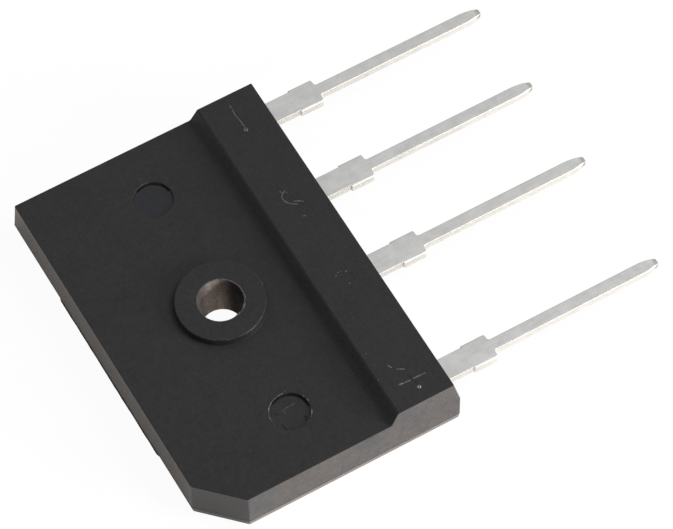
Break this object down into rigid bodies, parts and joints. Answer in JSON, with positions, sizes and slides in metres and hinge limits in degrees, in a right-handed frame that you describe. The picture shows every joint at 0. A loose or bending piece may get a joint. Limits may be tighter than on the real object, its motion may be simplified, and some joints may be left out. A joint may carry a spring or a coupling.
{
  "type": "bridge rectifier",
  "caption": "Flat moulded bridge rectifier with a raised seat round its mounting hole, a stepped front, one cut corner and flat leads in line with pointed tips.",
  "frame": {"origin": "on the axis of the mounting hole, at the flat back face", "axes": "+Z out of the marked front face, along the mounting hole; +Y away from the leads, which point to -Y; +X from the + lead towards the - lead"},
  "size_m": [0.03, 0.0381, 0.0046],
  "materials": {
    "moulding_compound": "matt charcoal moulding compound",
    "tinned_lead_frame": "matt tin plate",
    "copper_clip": "bare copper sheet",
    "silicon_die": "polished silicon",
    "solder": "dull solder"
  },
  "bodies": {
    "root": {"moulded_body": "moulding_compound", "lead_plus": "tinned_lead_frame", "lead_ac_1": "tinned_lead_frame", "lead_ac_2": "tinned_lead_frame", "lead_minus": "tinned_lead_frame", "die_1": "silicon_die", "die_2": "silicon_die", "die_3": "silicon_die", "die_4": "silicon_die", "clip_1": "copper_clip", "clip_2": "copper_clip", "clip_3": "copper_clip", "clip_4": "copper_clip", "die_solder_1": "solder", "die_solder_2": "solder", "die_solder_3": "solder", "die_solder_4": "solder", "clip_solder_1": "solder", "clip_solder_2": "solder", "clip_solder_3": "solder", "clip_solder_4": "solder", "foot_solder_1": "solder", "foot_solder_2": "solder", "foot_solder_3": "solder", "foot_solder_4": "solder"}
  },
  "joints": []
}
